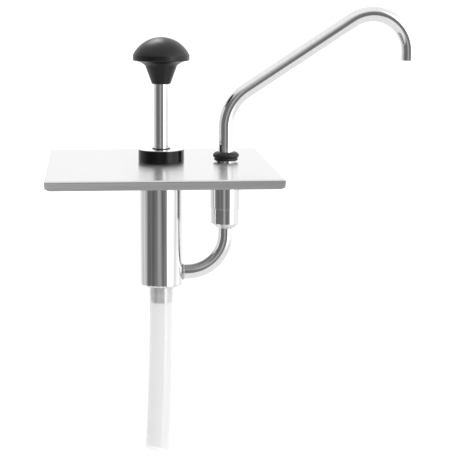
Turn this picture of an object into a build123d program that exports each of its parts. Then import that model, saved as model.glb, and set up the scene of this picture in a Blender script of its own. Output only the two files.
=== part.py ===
from build123d import *
from math import cos, radians, sin, sqrt
import os

# Condiment pump dispenser on the folded lid of a one-sixth size steam-table pan.
# Millimetres. The origin is on the pump's axis, at the underside of the lid, which rests on
# the pan's rim. +Z is up, +X points from the pump to the spout and +Y to the back of the pan.

INCH = 25.4

# lid
lid_width = 162.0           # left to right
lid_depth = 176.0           # front to back
lid_centre = (-2.0, -7.0)   # middle of the lid, seen from the pump's axis
sheet = 1.0                 # stainless sheet
skirt_drop = 6.5            # skirt's lower edge below the lid's top face
skirt_bend = 1.4            # outside radius of the fold
skirt_corner = 3.2          # rounded lower corners of each skirt
front_inset = 0.6           # front and back skirts stop this far short of the lid's sides
side_inset = 1.8            # side skirts start this far behind them, which leaves an open slot

# pump cylinder, its base and the inlet
cylinder_r = 1.25 * INCH / 2
cylinder_wall = 1.245
cylinder_bottom = -90.4
base_thickness = 1.8
base_edge = 1.4             # rounded lower edge
base_weld_r = 10.4
bead_drop = 1.0             # weld bead round the root of the nipple
bead_edge = 0.9
nipple_r = 8.0
nipple_bore_r = 5.0
nipple_length = 13.6
nipple_end_r = 7.5
barb_r = 8.28               # rings that grip the dip tube
barb_width = 1.6
barb_drop = 6.4             # upper ring below the cylinder's bottom

# dip tube: a gentle arc that leans towards -X, cut off at a slant
dip_r = 0.75 * INCH / 2
dip_wall = 1.2
dip_length = 130.4
dip_gap = 0.2               # between the bead and the tube's end
dip_bow_radius = 2500.0
dip_cut_x = 0.26            # drop of the slanted end for each millimetre towards +X
dip_cut_y = 0.17            # and towards +Y

# collar, bushing and rod
collar_r = 16.75
collar_height = 9.9         # above the lid's top face, gasket and disc included
collar_edge = 0.5
gasket_r = 16.45
gasket_thickness = 0.6
disc_thickness = 0.4
disc_r = 16.5
disc_edge = 0.2
spigot_depth = 11.0         # collar's spigot below the lid's top face
spigot_clearance = 0.02
bushing_r = 9.0
bushing_flange_r = 12.0
bushing_flange = 2.0
rod_r = 0.4375 * INCH / 2
rod_clearance = 0.045       # running fit of the rod in bushing and wiper
wiper_r = 6.7
wiper_depth = 3.0
wiper_chamfer = 0.45
wiper_stand = 0.4           # lip's height above the disc

# knob, heights above the lid's top face with the plunger up
stroke = 44.0
down_gap = 3.5              # left between collar and knob at the bottom of the stroke
knob_bottom = collar_height + stroke + down_gap
knob_neck_r = 6.8
knob_neck_edge = 0.9
knob_cone_top = 70.8
knob_cone_r = 11.7
knob_rim_bottom = 74.4
knob_flare_r = 14.0         # hollow sweep from the cone to the rim
knob_rim_r = 20.65
knob_rim_edge = 0.8
knob_rim_top = 78.4         # from here up the knob is part of a ball
knob_top = 91.4
insert_r = 6.2
insert_bottom = 60.6
insert_height = 15.0
thread_r = 4.0              # rod's threaded ends
thread_chamfer = 0.5
thread_gap = 0.6            # rod's top end below the insert's

# piston stack, downwards from the bushing
bumper_r = 12.0
bumper_gap = 0.1            # under the bushing
bumper_height = 2.0
bumper_edge = 0.5
piston_r = 14.2
piston_height = 10.0
seal_clearance = 0.03       # running fit of the cup seal in the cylinder
seal_depth = 2.6
seal_height = 6.0
seal_back = 2.0             # solid height above the groove behind the lip
lip_thickness = 0.9
lip_groove = 1.0
seal_relief = 0.3           # above the lip
washer_r = 12.8
washer_height = 1.5
washer_clearance = 0.05
nut_flats = 11.0
nut_height = 4.5
nut_chamfer = 0.5
nut_margin = 0.05           # the chamfer's cone ends just outside the corners
rod_tail = 0.5              # rod's end below the nut

# return spring
spring_wire = 1.6
spring_mean_r = 12.2
spring_turns = 9
spring_clearance = 0.02     # at each end

# discharge elbow, from the cylinder's side up to the spout's socket
spout_x = 1.875 * INCH      # spout's axis from the pump's axis
elbow_r = 0.4375 * INCH / 2
tube_wall = 1.1
elbow_radius = 1.125 * INCH
port_z = -81.2              # elbow's axis at the cylinder
elbow_overlap = 0.4         # elbow's end inside the cylinder's wall
elbow_weld_size = 0.75
elbow_weld_length = 0.9

# spout's socket
sleeve_r = 11.6
sleeve_bore_r = 10.4
sleeve_bottom = -33.4
sleeve_chamfer = 0.2
socket_r = 11.2
socket_cone_top = -44.3
socket_bottom = -47.8
socket_foot_r = 7.0
socket_weld_size = 0.7
socket_counterbore = 4.0    # the elbow's end goes up into the foot this far
socket_spigot = 10.0        # length that goes up into the sleeve
socket_bore_r = 8.0
socket_shelf = -36.0        # step that carries the spout's foot
chamber_r = 6.5             # room for the ball
seat_z = -41.0
head_depth = 12.0           # bush in the sleeve's top
head_bore_r = 7.0
head_neck_r = 7.6
head_stand = 0.9            # neck's height above the lid's top face

# spout
spout_r = 0.4375 * INCH / 2
spout_bend_start = 25.5     # above the lid's top face
spout_bend_radius = 1.25 * INCH
spout_slope = 33.3          # degrees above the horizontal
spout_straight = 93.35
hook_radius = 27.0
tip_length = 7.0
foot_gap = 0.1              # under the spout's foot and the grommet
foot_r = 7.95
foot_top = -21.0
foot_chamber_r = 5.7
foot_step_r = 4.2           # where the chamber tapers to the spout tube's bore
foot_step = 0.6             # height of that taper
tube_seat = -27.5           # spout tube's lower end in the foot
o_ring_r = 0.75
o_ring_clearance = 0.02     # in its groove
o_ring_heights = (-32.2, -25.0)

# grommet
grommet_plug_r = 6.95
grommet_plug_depth = 4.0
grommet_step_r = 8.7
grommet_step_edge = 0.6
grommet_waist_r = 8.45
grommet_waist = 2.9         # heights above the lid's top face
grommet_r = 9.6
grommet_bulge = 4.7
grommet_shoulder_r = 8.2
grommet_shoulder = 6.7
grommet_top = 7.2

# check balls
ball_r = 0.375 * INCH / 2
seat_bore_r = 4.0
seat_gap = 0.1
stop_pin_r = 0.8
stop_pin_z = -28.8
stop_pin_inset = 0.2        # ends below the foot's surface
strap_width = 4.0
strap_thickness = 1.0
strap_inside = 5.7          # half the width inside the strap
strap_edge = 1.0
strap_top = -76.2

# derived heights
deck = sheet
bore_r = cylinder_r - cylinder_wall
floor_z = cylinder_bottom + base_thickness
bushing_bottom = deck - spigot_depth - bushing_flange
bumper_top = bushing_bottom - bumper_gap
piston_top = bumper_top - bumper_height
washer_top = piston_top - piston_height
nut_top = washer_top - washer_height
rod_bottom = nut_top - nut_height - rod_tail
insert_low = deck + insert_bottom
insert_high = insert_low + insert_height
sphere_drop = sqrt(ball_r ** 2 - seat_bore_r ** 2)

tolerance = 0.01            # for picking edges by their size

os.makedirs("parts", exist_ok=True)


def save(part, name):
    part.label = name
    export_step(part, "parts/" + name + ".step")


def tube(outer, inner, low, high):
    """Straight ring or tube on the pump's axis."""
    with BuildPart() as ring:
        with BuildSketch(Plane.XY.offset(low)):
            Circle(outer)
            Circle(inner, mode=Mode.SUBTRACT)
        extrude(amount=high - low)
    return ring.part


def rings(piece, radius):
    """Circular edges of one radius, from the lowest up."""
    circles = piece.edges().filter_by(GeomType.CIRCLE)
    return circles.filter_by(lambda edge: abs(edge.radius - radius) < tolerance).sort_by(Axis.Z)


# ---------------------------------------------------------------- lid
half_w = lid_width / 2
half_d = lid_depth / 2
lid_plane = Plane((lid_centre[0], lid_centre[1], 0))

with BuildPart() as lid_plate:
    # flat top with its four folds, each fold as long as its skirt
    with BuildSketch(lid_plane):
        Rectangle(lid_width - 2 * skirt_bend, lid_depth - 2 * skirt_bend)
    extrude(amount=sheet)
    side_run = lid_depth - 2 * side_inset
    front_run = lid_width - 2 * front_inset
    folds = (
        (half_w, side_run, 0),
        (half_d, front_run, 90),
        (half_w, side_run, 180),
        (half_d, front_run, 270),
    )
    for reach, run, turn in folds:
        side = lid_plane.rotated((0, 0, turn))
        section = Plane(side.from_local_coords((0, run / 2, 0)), x_dir=side.x_dir, z_dir=-side.y_dir)
        fold = reach - skirt_bend
        with BuildSketch(section):
            with BuildLine():
                bend_z = sheet - skirt_bend
                inner = skirt_bend - sheet
                outer_arc = CenterArc((fold, bend_z), skirt_bend, 0, 90)
                inner_arc = CenterArc((fold, bend_z), inner, 0, 90)
                Line(outer_arc @ 0, (reach, sheet - skirt_drop))
                Line((reach, sheet - skirt_drop), (reach - sheet, sheet - skirt_drop))
                Line((reach - sheet, sheet - skirt_drop), inner_arc @ 0)
                Line(inner_arc @ 1, outer_arc @ 1)
            make_face()
        extrude(amount=run)
    low_corners = (
        lid_plate.edges()
        .filter_by(lambda edge: abs(edge.length - sheet) < tolerance)
        .filter_by(lambda edge: edge.center().Z < sheet - skirt_drop + tolerance)
    )
    fillet(low_corners, skirt_corner)
    # the cylinder and the socket pass up through the lid and are welded flush
    with BuildSketch(Plane.XY):
        Circle(cylinder_r)
        with Locations((spout_x, 0)):
            Circle(sleeve_r)
    extrude(amount=sheet, mode=Mode.SUBTRACT)
save(lid_plate.part, "lid_plate")

# ---------------------------------------------------------------- pump cylinder
with BuildPart() as pump_cylinder:
    add(tube(cylinder_r, bore_r, floor_z, deck))
    with BuildSketch(Plane.YZ):
        with Locations((0, port_z)):
            Circle(elbow_r)
    extrude(amount=spout_x, mode=Mode.SUBTRACT)
save(pump_cylinder.part, "pump_cylinder")

with BuildPart() as cylinder_base:
    with BuildSketch(Plane.XY.offset(cylinder_bottom)):
        Circle(cylinder_r)
    extrude(amount=base_thickness)
    fillet(cylinder_base.edges().group_by(Axis.Z)[0], base_edge)
    # seat of the foot valve, wider below it where the nipple is let in
    with BuildSketch(Plane.XY.offset(cylinder_bottom)):
        Circle(seat_bore_r)
    extrude(amount=base_thickness, mode=Mode.SUBTRACT)
save(cylinder_base.part, "cylinder_base")

with BuildPart() as inlet_nipple:
    with BuildSketch(Plane.XZ):
        with BuildLine():
            low = cylinder_bottom - nipple_length
            barb_z = cylinder_bottom - barb_drop
            Polyline(
                (nipple_bore_r, cylinder_bottom),
                (nipple_r, cylinder_bottom),
                (nipple_r, barb_z),
                (barb_r, barb_z - barb_width / 2),
                (nipple_r, barb_z - barb_width),
                (nipple_r, low + barb_width),
                (barb_r, low + barb_width / 2),
                (nipple_end_r, low),
                (nipple_bore_r, low),
                close=True,
            )
        make_face()
    revolve(axis=Axis.Z)
save(inlet_nipple.part, "inlet_nipple")

# the bead stays inside the dip tube's outline, just above its end
with BuildPart() as base_weld:
    with BuildSketch(Plane.XZ):
        with BuildLine():
            Polyline(
                (nipple_r, cylinder_bottom),
                (base_weld_r, cylinder_bottom),
                (base_weld_r - bead_edge, cylinder_bottom - bead_edge),
                (nipple_r, cylinder_bottom - bead_drop),
                close=True,
            )
        make_face()
    revolve(axis=Axis.Z)
save(base_weld.part, "base_weld")

# ---------------------------------------------------------------- foot valve
with BuildPart() as ball_cage:
    with BuildSketch(Plane.XZ.offset(-strap_width / 2)):
        with Locations((0, floor_z)):
            Rectangle(
                2 * (strap_inside + strap_thickness),
                strap_top - floor_z,
                align=(Align.CENTER, Align.MIN),
            )
            Rectangle(
                2 * strap_inside,
                strap_top - floor_z - strap_thickness,
                align=(Align.CENTER, Align.MIN),
                mode=Mode.SUBTRACT,
            )
    extrude(amount=strap_width)
    fillet(ball_cage.edges().filter_by(Axis.Y).group_by(Axis.Z)[-1], strap_edge)
save(ball_cage.part, "ball_cage")

with BuildPart(Plane.XY.offset(floor_z + sphere_drop + seat_gap)) as inlet_ball:
    Sphere(ball_r)
save(inlet_ball.part, "inlet_ball")

# ---------------------------------------------------------------- dip tube
dip_top = cylinder_bottom - bead_drop - dip_gap
with BuildPart() as dip_tube:
    with BuildLine():
        dip_angle = dip_length / dip_bow_radius
        dip_end = (
            -dip_bow_radius * (1 - cos(dip_angle)),
            0,
            dip_top - dip_bow_radius * sin(dip_angle),
        )
        TangentArc((0, 0, dip_top), dip_end, tangent=(0, 0, -1))
    with BuildSketch(Plane.XY.offset(dip_top)):
        Circle(dip_r)
        Circle(dip_r - dip_wall, mode=Mode.SUBTRACT)
    sweep()
    cut_plane = Plane(
        origin=(dip_end[0], 0, dip_end[2] + (dip_cut_x + dip_cut_y) * dip_r),
        z_dir=(dip_cut_x, dip_cut_y, 1),
    )
    split(bisect_by=cut_plane, keep=Keep.TOP)
save(dip_tube.part, "dip_tube")

# ---------------------------------------------------------------- collar
with BuildPart() as collar_gasket:
    add(tube(gasket_r, bore_r, deck, deck + gasket_thickness))
save(collar_gasket.part, "collar_gasket")

collar_top = deck + collar_height - disc_thickness
with BuildPart() as collar_nut:
    add(tube(collar_r, bushing_r, deck + gasket_thickness, collar_top))
    fillet(rings(collar_nut, collar_r), collar_edge)
    add(tube(bore_r - spigot_clearance, bushing_r, deck - spigot_depth, collar_top))
save(collar_nut.part, "collar_nut")

with BuildPart() as collar_disc:
    add(tube(disc_r, wiper_r, collar_top, collar_top + disc_thickness))
    fillet(rings(collar_disc, disc_r)[-1], disc_edge)
save(collar_disc.part, "collar_disc")

with BuildPart() as rod_bushing:
    add(tube(bushing_r, rod_r + rod_clearance, bushing_bottom + bushing_flange, collar_top))
    add(tube(bushing_flange_r, rod_r + rod_clearance, bushing_bottom, bushing_bottom + bushing_flange))
    # recess for the wiper
    with BuildSketch(Plane.XY.offset(collar_top - wiper_depth)):
        Circle(wiper_r)
    extrude(amount=wiper_depth, mode=Mode.SUBTRACT)
save(rod_bushing.part, "rod_bushing")

with BuildPart() as rod_wiper:
    wiper_top = collar_top + disc_thickness + wiper_stand
    add(tube(wiper_r, rod_r + rod_clearance, collar_top - wiper_depth, wiper_top))
    chamfer(rings(rod_wiper, rod_r + rod_clearance)[-1], wiper_chamfer)
save(rod_wiper.part, "rod_wiper")

# ---------------------------------------------------------------- plunger
with BuildPart() as plunger_rod:
    with BuildSketch(Plane.XZ):
        with BuildLine():
            Polyline(
                (0, rod_bottom),
                (thread_r, rod_bottom),
                (thread_r, washer_top),
                (rod_r, washer_top),
                (rod_r, insert_low),
                (thread_r, insert_low),
                (thread_r, insert_high - thread_gap),
                (0, insert_high - thread_gap),
                close=True,
            )
        make_face()
    revolve(axis=Axis.Z)
    threads = rings(plunger_rod, thread_r)
    chamfer((threads[0], threads[-1]), thread_chamfer)
save(plunger_rod.part, "plunger_rod")

with BuildPart() as knob:
    with BuildSketch(Plane.XZ):
        with BuildLine():
            neck = (knob_neck_r, deck + knob_bottom)
            cone = (knob_cone_r, deck + knob_cone_top)
            rim_low = (knob_rim_r, deck + knob_rim_bottom)
            rim_high = (knob_rim_r, deck + knob_rim_top)
            crown = (0, deck + knob_top)
            Polyline((rod_r, neck[1]), neck, cone)
            RadiusArc(cone, rim_low, knob_flare_r)
            Line(rim_low, rim_high)
            TangentArc(crown, rim_high, tangent=(1, 0))
            Polyline(
                crown,
                (0, insert_high),
                (insert_r, insert_high),
                (insert_r, insert_low),
                (rod_r, insert_low),
                (rod_r, neck[1]),
            )
        make_face()
    revolve(axis=Axis.Z)
    fillet(rings(knob, knob_neck_r), knob_neck_edge)
    fillet(rings(knob, knob_rim_r)[0], knob_rim_edge)
save(knob.part, "knob")

with BuildPart() as knob_insert:
    add(tube(insert_r, thread_r, insert_low, insert_high))
save(knob_insert.part, "knob_insert")

with BuildPart() as stop_bumper:
    add(tube(bumper_r, rod_r, piston_top, bumper_top))
    fillet(rings(stop_bumper, bumper_r), bumper_edge)
save(stop_bumper.part, "stop_bumper")

seal_top = piston_top - (piston_height - seal_height) / 2
with BuildPart() as piston:
    add(tube(piston_r, rod_r, washer_top, piston_top))
    # groove for the cup seal
    with BuildSketch(Plane.XY.offset(seal_top - seal_height)):
        Circle(piston_r)
        Circle(piston_r - seal_depth, mode=Mode.SUBTRACT)
    extrude(amount=seal_height, mode=Mode.SUBTRACT)
save(piston.part, "piston")

# cup seal: a ring with a groove in its lower face that lets its lip press outwards
with BuildPart() as piston_seal:
    seal_r = bore_r - seal_clearance
    add(tube(seal_r, piston_r - seal_depth, seal_top - seal_height, seal_top))
    with BuildSketch(Plane.XY.offset(seal_top - seal_height)):
        Circle(piston_r - lip_thickness)
        Circle(piston_r - lip_thickness - lip_groove, mode=Mode.SUBTRACT)
    extrude(amount=seal_height - seal_back, mode=Mode.SUBTRACT)
    # the outside is relieved, so that only the lip runs on the wall
    with BuildSketch(Plane.XY.offset(seal_top - seal_height + seal_back)):
        Circle(seal_r)
        Circle(seal_r - seal_relief, mode=Mode.SUBTRACT)
    extrude(amount=seal_height - seal_back, mode=Mode.SUBTRACT)
save(piston_seal.part, "piston_seal")

with BuildPart() as piston_washer:
    add(tube(washer_r, thread_r + washer_clearance, nut_top, washer_top))
save(piston_washer.part, "piston_washer")

with BuildPart() as piston_nut:
    with BuildSketch(Plane.XY.offset(nut_top - nut_height)):
        RegularPolygon(nut_flats / 2, 6, major_radius=False)
        Circle(thread_r, mode=Mode.SUBTRACT)
    extrude(amount=nut_height)
    # chamfered corners, as a turned nut has
    with BuildSketch(Plane.XZ):
        with BuildLine():
            corner_r = nut_flats / sqrt(3)
            outside = corner_r + nut_chamfer
            high = nut_top
            low = nut_top - nut_height
            Polyline(
                (corner_r - nut_chamfer, high),
                (outside, high),
                (outside, low),
                (corner_r - nut_chamfer, low),
                (corner_r + nut_margin, low + nut_chamfer),
                (corner_r + nut_margin, high - nut_chamfer),
                close=True,
            )
        make_face()
    revolve(axis=Axis.Z, mode=Mode.SUBTRACT)
save(piston_nut.part, "piston_nut")

with BuildPart() as return_spring:
    with BuildLine():
        spring_low = floor_z + spring_wire / 2
        spring_high = nut_top - spring_wire / 2
        pitch = (spring_high - spring_low) / spring_turns
        coil = Helix(pitch, spring_high - spring_low, spring_mean_r, center=(0, 0, spring_low))
    with BuildSketch(Plane(coil @ 0, z_dir=coil % 0)):
        Circle(spring_wire / 2 - spring_clearance)
    sweep(is_frenet=True)
save(return_spring.part, "return_spring")

# ---------------------------------------------------------------- discharge elbow
elbow_turn_x = spout_x - elbow_radius
with BuildPart() as discharge_elbow:
    with BuildLine():
        run_in = Line((bore_r + elbow_overlap, 0, port_z), (elbow_turn_x, 0, port_z))
        turn = TangentArc(
            (elbow_turn_x, 0, port_z), (spout_x, 0, port_z + elbow_radius), tangent=(1, 0, 0)
        )
        Line(turn @ 1, (spout_x, 0, socket_bottom + socket_counterbore))
    with BuildSketch(Plane(run_in @ 0, z_dir=(1, 0, 0))):
        Circle(elbow_r)
        Circle(elbow_r - tube_wall, mode=Mode.SUBTRACT)
    sweep()
save(discharge_elbow.part, "discharge_elbow")

# weld fillet where the elbow meets the cylinder: a disc, bored by both
with BuildPart() as elbow_weld:
    bead_r = elbow_r + elbow_weld_size
    with BuildSketch(Plane.YZ):
        with Locations((0, port_z)):
            Circle(bead_r)
            Circle(elbow_r, mode=Mode.SUBTRACT)
    extrude(amount=cylinder_r + elbow_weld_length)
    chamfer(rings(elbow_weld, bead_r).sort_by(Axis.X)[-1], 0.9 * elbow_weld_size)
    with BuildSketch(Plane.XY.offset(port_z - 2 * elbow_r)):
        Circle(cylinder_r)
    extrude(amount=4 * elbow_r, mode=Mode.SUBTRACT)
save(elbow_weld.part, "elbow_weld")


def turned_on_spout_axis(*outline):
    """Turned piece on the spout's axis, from its outline as radius and height."""
    with BuildPart() as piece:
        with BuildSketch(Plane((spout_x, 0, 0), x_dir=(1, 0, 0), z_dir=(0, -1, 0))):
            with BuildLine():
                Polyline(*outline, close=True)
            make_face()
        revolve(axis=Axis((spout_x, 0, 0), (0, 0, 1)))
    return piece.part


with BuildPart() as socket_weld:
    add(turned_on_spout_axis(
        (elbow_r, socket_bottom),
        (elbow_r + socket_weld_size, socket_bottom),
        (elbow_r, socket_bottom - socket_weld_size),
    ))
save(socket_weld.part, "socket_weld")

# ---------------------------------------------------------------- spout's socket
with BuildPart() as socket_sleeve:
    add(turned_on_spout_axis(
        (sleeve_bore_r, sleeve_bottom),
        (sleeve_r - sleeve_chamfer, sleeve_bottom),
        (sleeve_r, sleeve_bottom + sleeve_chamfer),
        (sleeve_r, deck),
        (sleeve_bore_r, deck),
    ))
save(socket_sleeve.part, "socket_sleeve")

with BuildPart() as spout_socket:
    add(turned_on_spout_axis(
        (elbow_r, socket_bottom),
        (socket_foot_r, socket_bottom),
        (socket_r, socket_cone_top),
        (socket_r, sleeve_bottom),
        (sleeve_bore_r, sleeve_bottom),
        (sleeve_bore_r, sleeve_bottom + socket_spigot),
        (socket_bore_r, sleeve_bottom + socket_spigot),
        (socket_bore_r, socket_shelf),
        (chamber_r, socket_shelf),
        (chamber_r, seat_z),
        (seat_bore_r, seat_z),
        (seat_bore_r, socket_bottom + socket_counterbore),
        (elbow_r, socket_bottom + socket_counterbore),
    ))
save(spout_socket.part, "spout_socket")

with BuildPart() as socket_head:
    add(turned_on_spout_axis(
        (head_bore_r, deck - head_depth),
        (sleeve_bore_r, deck - head_depth),
        (sleeve_bore_r, deck),
        (head_neck_r, deck),
        (head_neck_r, deck + head_stand),
        (head_bore_r, deck + head_stand),
    ))
save(socket_head.part, "socket_head")

# ---------------------------------------------------------------- discharge valve
ball_z = seat_z + sphere_drop + seat_gap
with BuildPart(Plane((spout_x, 0, ball_z))) as outlet_ball:
    Sphere(ball_r)
save(outlet_ball.part, "outlet_ball")

# ---------------------------------------------------------------- spout
bend_z = deck + spout_bend_start
slope = radians(spout_slope)
turn_angle = radians(90 - spout_slope)
bend_end = (
    spout_x + spout_bend_radius * (1 - cos(turn_angle)),
    bend_z + spout_bend_radius * sin(turn_angle),
)
hook_start = (bend_end[0] + spout_straight * cos(slope), bend_end[1] + spout_straight * sin(slope))
hook_centre = (hook_start[0] + hook_radius * sin(slope), hook_start[1] - hook_radius * cos(slope))
tip_x = hook_centre[0] + hook_radius
tip_z = hook_centre[1] - tip_length

with BuildPart() as spout_tube:
    with BuildLine(Plane.XZ):
        rise = Line((spout_x, tube_seat), (spout_x, bend_z))
        TangentArc(rise @ 1, bend_end, tangent=(0, 1))
        Line(bend_end, hook_start)
        TangentArc(hook_start, (tip_x, hook_centre[1]), tangent=(cos(slope), sin(slope)))
        Line((tip_x, hook_centre[1]), (tip_x, tip_z))
    with BuildSketch(Plane((spout_x, 0, tube_seat))):
        Circle(spout_r)
        Circle(spout_r - tube_wall, mode=Mode.SUBTRACT)
    sweep()
save(spout_tube.part, "spout_tube")

with BuildPart() as spout_spigot:
    foot_low = socket_shelf + foot_gap
    add(turned_on_spout_axis(
        (foot_chamber_r, foot_low),
        (foot_r, foot_low),
        (foot_r, foot_top),
        (spout_r, foot_top),
        (spout_r, tube_seat),
        (spout_r - tube_wall, tube_seat),
        (foot_step_r, tube_seat - foot_step),
        (foot_chamber_r, tube_seat - foot_step),
    ))
    # grooves for the seals and cross hole for the ball's stop pin
    for height in o_ring_heights:
        with BuildSketch(Plane((spout_x, 0, height - o_ring_r))):
            Circle(foot_r)
            Circle(foot_r - 2 * o_ring_r, mode=Mode.SUBTRACT)
        extrude(amount=2 * o_ring_r, mode=Mode.SUBTRACT)
    with BuildSketch(Plane.YZ.offset(spout_x - foot_r)):
        with Locations((0, stop_pin_z)):
            Circle(stop_pin_r)
    extrude(amount=2 * foot_r, mode=Mode.SUBTRACT)
save(spout_spigot.part, "spout_spigot")

with BuildPart() as spigot_o_rings:
    for height in o_ring_heights:
        with BuildSketch(Plane((spout_x, 0, 0), x_dir=(1, 0, 0), z_dir=(0, -1, 0))):
            with Locations((foot_r - o_ring_r + o_ring_clearance, height)):
                Circle(o_ring_r - o_ring_clearance)
        revolve(axis=Axis((spout_x, 0, 0), (0, 0, 1)))
save(spigot_o_rings.part, "spigot_o_rings")

with BuildPart() as ball_stop_pin:
    pin_length = 2 * foot_r - 2 * stop_pin_inset
    with BuildSketch(Plane.YZ.offset(spout_x - pin_length / 2)):
        with Locations((0, stop_pin_z)):
            Circle(stop_pin_r)
    extrude(amount=pin_length)
save(ball_stop_pin.part, "ball_stop_pin")

# rubber plug in the socket's head, with a rounded step and a bulging collar above it
with BuildPart() as spout_grommet:
    rest = deck + head_stand + foot_gap
    waist = deck + grommet_waist
    with BuildSketch(Plane((spout_x, 0, 0), x_dir=(1, 0, 0), z_dir=(0, -1, 0))):
        with BuildLine():
            Polyline(
                (grommet_waist_r, waist),
                (grommet_step_r, waist - grommet_step_edge),
                (grommet_step_r, rest),
                (grommet_plug_r, rest),
                (grommet_plug_r, deck - grommet_plug_depth),
                (spout_r, deck - grommet_plug_depth),
                (spout_r, deck + grommet_top),
            )
            Spline(
                (spout_r, deck + grommet_top),
                (grommet_shoulder_r, deck + grommet_shoulder),
                (grommet_r, deck + grommet_bulge),
                (grommet_waist_r, waist),
                tangents=((1, 0.1), (-1, -0.7)),
            )
        make_face()
    revolve(axis=Axis((spout_x, 0, 0), (0, 0, 1)))
    fillet(rings(spout_grommet, grommet_step_r), grommet_step_edge)
save(spout_grommet.part, "spout_grommet")
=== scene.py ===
import math

import bpy
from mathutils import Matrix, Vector


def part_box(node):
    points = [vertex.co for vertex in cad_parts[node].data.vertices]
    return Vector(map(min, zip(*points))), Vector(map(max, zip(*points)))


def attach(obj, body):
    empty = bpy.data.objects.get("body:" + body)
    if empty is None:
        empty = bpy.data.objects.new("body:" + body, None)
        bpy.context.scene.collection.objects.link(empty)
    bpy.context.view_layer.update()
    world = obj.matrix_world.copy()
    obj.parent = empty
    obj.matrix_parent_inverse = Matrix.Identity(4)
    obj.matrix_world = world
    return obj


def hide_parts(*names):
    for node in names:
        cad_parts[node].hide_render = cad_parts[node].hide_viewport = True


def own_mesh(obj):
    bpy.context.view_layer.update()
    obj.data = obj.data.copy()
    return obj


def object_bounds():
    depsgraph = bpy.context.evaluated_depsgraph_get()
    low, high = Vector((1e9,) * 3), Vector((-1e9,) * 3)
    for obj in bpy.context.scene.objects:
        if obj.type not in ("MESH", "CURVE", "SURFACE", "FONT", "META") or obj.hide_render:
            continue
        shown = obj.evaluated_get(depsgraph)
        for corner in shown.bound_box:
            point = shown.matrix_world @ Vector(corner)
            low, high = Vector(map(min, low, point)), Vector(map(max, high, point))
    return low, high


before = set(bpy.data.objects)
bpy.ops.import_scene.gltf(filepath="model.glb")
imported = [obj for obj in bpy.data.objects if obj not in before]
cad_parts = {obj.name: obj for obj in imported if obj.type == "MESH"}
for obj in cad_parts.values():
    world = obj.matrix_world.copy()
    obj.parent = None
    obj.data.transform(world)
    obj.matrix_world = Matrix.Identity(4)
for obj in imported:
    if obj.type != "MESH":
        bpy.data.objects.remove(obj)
cad_low, cad_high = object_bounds()

BRUSHING = (1.0, 0.06, 0.0)      # direction of the lid's brushing


# ---------------------------------------------------------------- node helpers
def new_material(name):
    """Empty node material: returns it, its nodes, its links and its shader."""
    material = bpy.data.materials.new(name)
    material.use_nodes = True
    nodes = material.node_tree.nodes
    return material, nodes, material.node_tree.links, nodes["Principled BSDF"]


def add_node(nodes, kind, **settings):
    """New node; a setting is an input's value if there is such an input, else a property."""
    node = nodes.new(kind)
    for key, value in settings.items():
        if key in node.inputs:
            node.inputs[key].default_value = value
        else:
            setattr(node, key, value)
    return node


def stretched_noise(nodes, links, scale, stretch=(1, 1, 1), detail=4.0, roughness=0.6):
    """Noise in the object's own space, drawn out along the axes with a small stretch value."""
    place = add_node(nodes, "ShaderNodeTexCoord")
    mapping = add_node(nodes, "ShaderNodeMapping", Scale=stretch)
    grain = add_node(nodes, "ShaderNodeTexNoise", Scale=scale, Detail=detail, Roughness=roughness)
    links.new(place.outputs["Object"], mapping.inputs["Vector"])
    links.new(mapping.outputs["Vector"], grain.inputs["Vector"])
    return grain.outputs["Fac"]


def span(nodes, links, source, low, high, start=0.3, end=0.7):
    """Maps a texture's start..end to low..high."""
    fit = add_node(nodes, "ShaderNodeMapRange")
    for socket, value in zip(("From Min", "From Max", "To Min", "To Max"), (start, end, low, high)):
        fit.inputs[socket].default_value = value
    links.new(source, fit.inputs["Value"])
    return fit.outputs["Result"]


def bump(nodes, links, shader, height, strength, distance):
    """Raises the shader's surface by a texture."""
    node = add_node(nodes, "ShaderNodeBump", Strength=strength, Distance=distance)
    links.new(height, node.inputs["Height"])
    links.new(node.outputs["Normal"], shader.inputs["Normal"])


def tone(nodes, links, source, dark, light, start=0.3, end=0.7):
    """Colour between two colours, by a texture's value."""
    ramp = add_node(nodes, "ShaderNodeValToRGB")
    for element, place, colour in zip(ramp.color_ramp.elements, (start, end), (dark, light)):
        element.position = place
        element.color = (*colour, 1)
    links.new(source, ramp.inputs["Fac"])
    return ramp.outputs["Color"]


def grey(value):
    return (value, value, value)


def by_facing(nodes, links, below, above, start, end):
    """One colour or the other, by how far the surface faces up."""
    surface = add_node(nodes, "ShaderNodeNewGeometry")
    facing = add_node(nodes, "ShaderNodeSeparateXYZ")
    finish = add_node(nodes, "ShaderNodeMix", data_type="RGBA")
    links.new(surface.outputs["Normal"], facing.inputs["Vector"])
    links.new(span(nodes, links, facing.outputs["Z"], 0, 1, start, end), finish.inputs["Factor"])
    links.new(below, finish.inputs["A"])
    links.new(above, finish.inputs["B"])
    return finish.outputs["Result"]


# ---------------------------------------------------------------- materials
def metal(name, dark, light, rough, scale, stretch=(1, 1, 1), relief=0.05, depth=0.00002, top=None):
    """Metal with a grain drawn out along one direction; top, when given, is a darker grey painted on its
    upward faces as painted shade, dimming the bright overhead light they reflect.
    """
    material, nodes, links, shader = new_material(name)
    shader.inputs["Metallic"].default_value = 1.0
    grain = stretched_noise(nodes, links, scale, stretch)
    colour = tone(nodes, links, grain, dark, light)
    if top:
        # painted shade: upward faces get a flat darker grey in place of the metal's own tone
        painted_top_shade = tone(nodes, links, grain, grey(top - 0.03), grey(top + 0.03))
        colour = by_facing(nodes, links, colour, painted_top_shade, 0.5, 0.9)
    links.new(colour, shader.inputs["Base Color"])
    links.new(span(nodes, links, grain, *rough), shader.inputs["Roughness"])
    bump(nodes, links, shader, grain, relief, depth)
    return material


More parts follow.
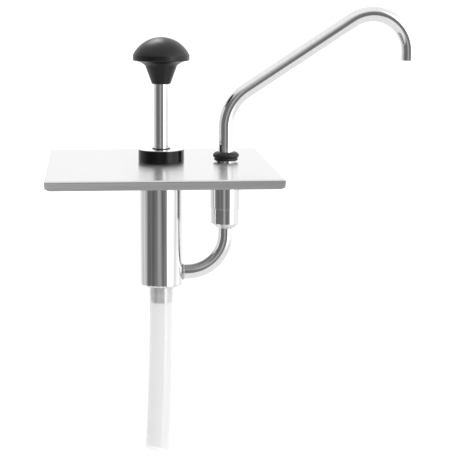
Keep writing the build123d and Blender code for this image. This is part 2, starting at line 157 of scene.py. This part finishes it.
def brushed_sheet():
    """Stainless sheet brushed from side to side: reflections smear across the brushing."""
    material, nodes, links, shader = new_material("brushed_sheet")
    shader.inputs["Metallic"].default_value = 1.0
    shader.inputs["Anisotropic"].default_value = 0.9
    grain = stretched_noise(nodes, links, 700, (0.02, 1, 1))
    links.new(span(nodes, links, grain, 0.23, 0.27), shader.inputs["Roughness"])
    # painted shade: the underside is painted a darker grey than the top, standing in for the shade that
    # falls under the lid
    painted_underside_shade = tone(nodes, links, grain, grey(0.34), grey(0.38))
    brushed = tone(nodes, links, grain, grey(0.67), grey(0.72))
    links.new(by_facing(nodes, links, painted_underside_shade, brushed, -0.9, -0.5), shader.inputs["Base Color"])
    surface = add_node(nodes, "ShaderNodeNewGeometry")
    across = add_node(nodes, "ShaderNodeVectorMath", operation="CROSS_PRODUCT")
    links.new(surface.outputs["Normal"], across.inputs[0])
    across.inputs[1].default_value = BRUSHING
    links.new(across.outputs["Vector"], shader.inputs["Tangent"])
    bump(nodes, links, shader, grain, 0.01, 0.00002)
    return material


def plastic(name, dark, light, rough, scale, relief, specular=0.5):
    """Moulded plastic or rubber with a fine skin."""
    material, nodes, links, shader = new_material(name)
    shader.inputs["Specular IOR Level"].default_value = specular
    skin = stretched_noise(nodes, links, scale, detail=6.0)
    cloud = stretched_noise(nodes, links, scale * 0.05, detail=2.0)
    links.new(tone(nodes, links, cloud, dark, light), shader.inputs["Base Color"])
    links.new(span(nodes, links, cloud, *rough), shader.inputs["Roughness"])
    bump(nodes, links, shader, skin, relief, 0.00003)
    return material


def natural_polyethylene():
    """Milky tube that lets light and shapes through."""
    material, nodes, links, shader = new_material("natural_polyethylene")
    shader.inputs["IOR"].default_value = 1.02
    shader.inputs["Coat Weight"].default_value = 0.6
    shader.inputs["Coat Roughness"].default_value = 0.08
    shader.inputs["Transmission Weight"].default_value = 0.75
    streaks = stretched_noise(nodes, links, 500, (1, 1, 0.06))
    links.new(tone(nodes, links, streaks, grey(0.90), grey(0.94)), shader.inputs["Base Color"])
    links.new(span(nodes, links, streaks, 0.04, 0.08), shader.inputs["Roughness"])
    return material


materials = {
    "sheet": brushed_sheet(),
    # satin steel: top=0.42 paints shade on its upward faces
    "satin": metal(
        "satin_steel", grey(0.48), grey(0.86), rough=(0.07, 0.15), scale=460,
        stretch=(1, 1, 0.01), relief=0.2, depth=0.00006, top=0.42,
    ),
    "polished": metal(
        "polished_steel", grey(0.68), grey(0.76), rough=(0.02, 0.06), scale=500, relief=0.02,
    ),
    "weld": metal("weld_steel", grey(0.30), grey(0.60), rough=(0.20, 0.36), scale=900, relief=0.35),
    "wire": metal("spring_wire", grey(0.55), grey(0.65), rough=(0.14, 0.24), scale=1500),
    "brass": metal(
        "brass", (0.60, 0.42, 0.18), (0.72, 0.54, 0.26), rough=(0.16, 0.26), scale=1500,
        stretch=(1, 1, 0.2),
    ),
    "collar": plastic(
        "collar_plastic", grey(0.0015), grey(0.003), rough=(0.14, 0.20), scale=3000,
        relief=0.04, specular=0.32,
    ),
    "knob": plastic(
        "knob_plastic", grey(0.003), grey(0.006), rough=(0.32, 0.40), scale=2600,
        relief=0.05, specular=0.36,
    ),
    "rubber": plastic(
        "black_rubber", grey(0.006), grey(0.014), rough=(0.40, 0.55), scale=2200,
        relief=0.25, specular=0.4,
    ),
    "acetal": plastic(
        "white_acetal", grey(0.74), grey(0.80), rough=(0.30, 0.40), scale=1800, relief=0.08,
    ),
    "dip": natural_polyethylene(),
}

FINISHES = {
    "sheet": ("lid_plate",),
    "satin": (
        "pump_cylinder", "cylinder_base", "socket_sleeve", "spout_socket", "socket_head", "spout_spigot",
        "inlet_nipple", "ball_cage", "piston_washer", "piston_nut", "ball_stop_pin",
    ),
    "polished": (
        "plunger_rod", "spout_tube", "discharge_elbow", "inlet_ball", "outlet_ball", "collar_disc",
    ),
    "weld": ("base_weld", "elbow_weld", "socket_weld"),
    "collar": ("collar_nut",),
    "knob": ("knob",),
    "rubber": (
        "spout_grommet", "rod_wiper", "collar_gasket", "stop_bumper", "piston_seal", "spigot_o_rings",
    ),
    "acetal": ("piston", "rod_bushing"),
    "brass": ("knob_insert",),
    "dip": ("dip_tube",),
}
for finish, names in FINISHES.items():
    for name in names:
        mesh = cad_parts[name].data
        mesh.materials.clear()
        mesh.materials.append(materials[finish])


# ---------------------------------------------------------------- return spring
def wire_coil(name, low, high, mean_r, wire_r, turns, closed_turns, rise):
    """Compression spring on the pump's axis, its end turns closed up; rise is for a closed turn."""
    around, along = 12, 40      # points round the wire, and steps in a turn
    steps = int(turns * along)
    verts, faces = [], []
    bottom, top = low + wire_r, high - wire_r
    free_rise = (top - bottom - 2 * closed_turns * rise) / (turns - 2 * closed_turns)
    for step in range(steps + 1):
        turn = step / along
        flat = min(turn, closed_turns) + max(0, turn - (turns - closed_turns))
        z = bottom + flat * rise + (turn - flat) * free_rise
        angle = 2 * math.pi * turn
        for point in range(around):
            tilt = 2 * math.pi * point / around
            reach = mean_r + wire_r * math.cos(tilt)
            verts.append((reach * math.cos(angle), reach * math.sin(angle), z + wire_r * math.sin(tilt)))
    for step in range(steps):
        for point in range(around):
            here, beside = step * around + point, step * around + (point + 1) % around
            faces.append((here, beside, beside + around, here + around))
    faces.append(tuple(reversed(range(around))))
    faces.append(tuple(steps * around + point for point in range(around)))
    mesh = bpy.data.meshes.new(name)
    mesh.from_pydata(verts, [], faces)
    mesh.shade_smooth()
    mesh.materials.append(materials["wire"])
    coil = bpy.data.objects.new(name, mesh)
    bpy.context.scene.collection.objects.link(coil)
    return coil


spring_low, spring_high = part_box("return_spring")
spring_wire_r = 0.00078
spring_r = spring_high[0] - spring_wire_r
coil = wire_coil(
    "return_spring_coil", spring_low[2], spring_high[2], spring_r, spring_wire_r,
    turns=9, closed_turns=0.9, rise=2 * spring_wire_r,
)
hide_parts("return_spring")
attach(coil, "lid")
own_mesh(coil)


# ---------------------------------------------------------------- floor
def make_floor():
    """Plain pale floor just under the dip tube; it stays out of the steel's reflections."""
    reach, gap = 30.0, 0.0005
    z = cad_low[2] - gap
    corners = [(-reach, -reach, z), (reach, -reach, z), (reach, reach, z), (-reach, reach, z)]
    mesh = bpy.data.meshes.new("floor")
    mesh.from_pydata(corners, [], [(0, 1, 2, 3)])
    floor = bpy.data.objects.new("floor", mesh)
    bpy.context.scene.collection.objects.link(floor)
    material, nodes, links, shader = new_material("floor_paper")
    cloud = stretched_noise(nodes, links, 30)
    links.new(tone(nodes, links, cloud, grey(0.30), grey(0.34)), shader.inputs["Base Color"])
    shader.inputs["Roughness"].default_value = 0.9
    shader.inputs["Emission Color"].default_value = (1, 1, 1, 1)
    shader.inputs["Emission Strength"].default_value = 0.85
    mesh.materials.append(material)
    floor.visible_glossy = False
    floor.visible_transmission = False


make_floor()


# ---------------------------------------------------------------- studio
def make_world():
    """White tent with a grey screen on the front side, split by a narrow lighter gap."""
    world = bpy.data.worlds.new("studio")
    bpy.context.scene.world = world
    world.use_nodes = True
    nodes, links = world.node_tree.nodes, world.node_tree.links
    place = add_node(nodes, "ShaderNodeTexCoord")
    split = add_node(nodes, "ShaderNodeSeparateXYZ")
    links.new(place.outputs["Generated"], split.inputs["Vector"])
    minus_y = add_node(nodes, "ShaderNodeMath", operation="MULTIPLY")
    minus_y.inputs[1].default_value = -1.0
    links.new(split.outputs["Y"], minus_y.inputs[0])
    azimuth = add_node(nodes, "ShaderNodeMath", operation="ARCTAN2")
    links.new(split.outputs["X"], azimuth.inputs[0])
    links.new(minus_y.outputs[0], azimuth.inputs[1])
    turn = span(nodes, links, azimuth.outputs[0], 0, 1, -math.pi, math.pi)
    ramp = add_node(nodes, "ShaderNodeValToRGB")
    white, screen, gap, strip = 1.35, 0.21, 0.52, 3.0
    # degrees round from the front, +X side positive, and how bright the tent is there
    stops = (
        (-180, white), (-150, 1.15), (-118, 0.85), (-93, 0.62), (-76, screen), (-44, screen * 0.85),
        (-28, screen * 1.1), (-18, gap), (-11, gap), (-2, screen * 1.2), (10, screen), (18, screen * 1.1),
        (27, 0.6), (34, strip), (50, strip), (62, white), (180, white),
    )
    elements = ramp.color_ramp.elements
    while len(elements) < len(stops):
        elements.new(0.5)
    for element, (degrees, value) in zip(elements, stops):
        element.position = (degrees + 180) / 360
        element.color = (value, value, value, 1)
    links.new(turn, ramp.inputs["Fac"])
    # white overhead and a white table below: height of the view where each starts, where it is
    # full, and its brightness
    overhead = (0.45, 0.8, 1.15)
    table = (-0.24, -0.40, 1.05)
    shade = ramp.outputs["Color"]
    for start, end, value in (overhead, table):
        mix = add_node(nodes, "ShaderNodeMix", data_type="RGBA")
        links.new(span(nodes, links, split.outputs["Z"], 0, 1, start, end), mix.inputs["Factor"])
        links.new(shade, mix.inputs["A"])
        mix.inputs["B"].default_value = (value, value, value, 1)
        shade = mix.outputs["Result"]
    links.new(shade, nodes["Background"].inputs["Color"])


make_world()


def soft_light(name, place, target, size, power, only=None):
    """Square soft box turned towards a point; with only, it lights that one object."""
    light = bpy.data.lights.new(name, "AREA")
    light.size = size
    light.energy = power
    lamp = bpy.data.objects.new(name, light)
    lamp.location = place
    lamp.rotation_mode = "QUATERNION"
    lamp.rotation_quaternion = (Vector(target) - Vector(place)).to_track_quat("-Z", "Y")
    bpy.context.scene.collection.objects.link(lamp)
    if only:
        lit = bpy.data.collections.new(name + "_lit")
        lit.objects.link(only)
        lamp.light_linking.receiver_collection = lit


knob_crown = Vector((0, 0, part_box("knob")[1][2]))
high_behind = knob_crown + Vector((-0.17, 0.73, 0.94))
soft_light("top_back", high_behind, knob_crown, size=0.5, power=5.0, only=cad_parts["knob"])
soft_light("fill_right", (1.2, -0.3, 0.6), (0, 0, 0), size=0.8, power=2.0)


# ---------------------------------------------------------------- camera
def make_camera():
    """A little above the lid and to the left, looking slightly down."""
    camera = bpy.data.cameras.new("camera")
    camera.sensor_width = 36.0
    camera.lens = 109.4
    camera.shift_x = 0.12
    camera.shift_y = -0.11
    camera.clip_start, camera.clip_end = 0.05, 100
    eye = bpy.data.objects.new("camera", camera)
    bpy.context.scene.collection.objects.link(eye)
    eye.location = (-0.0526, -1.0161, 0.1362)
    yaw, pitch = math.radians(3.522), math.radians(-8.285)
    eye.rotation_euler = (math.pi / 2 + pitch, 0, -yaw)
    bpy.context.scene.camera = eye


make_camera()
bpy.context.scene.view_settings.view_transform = "Standard"
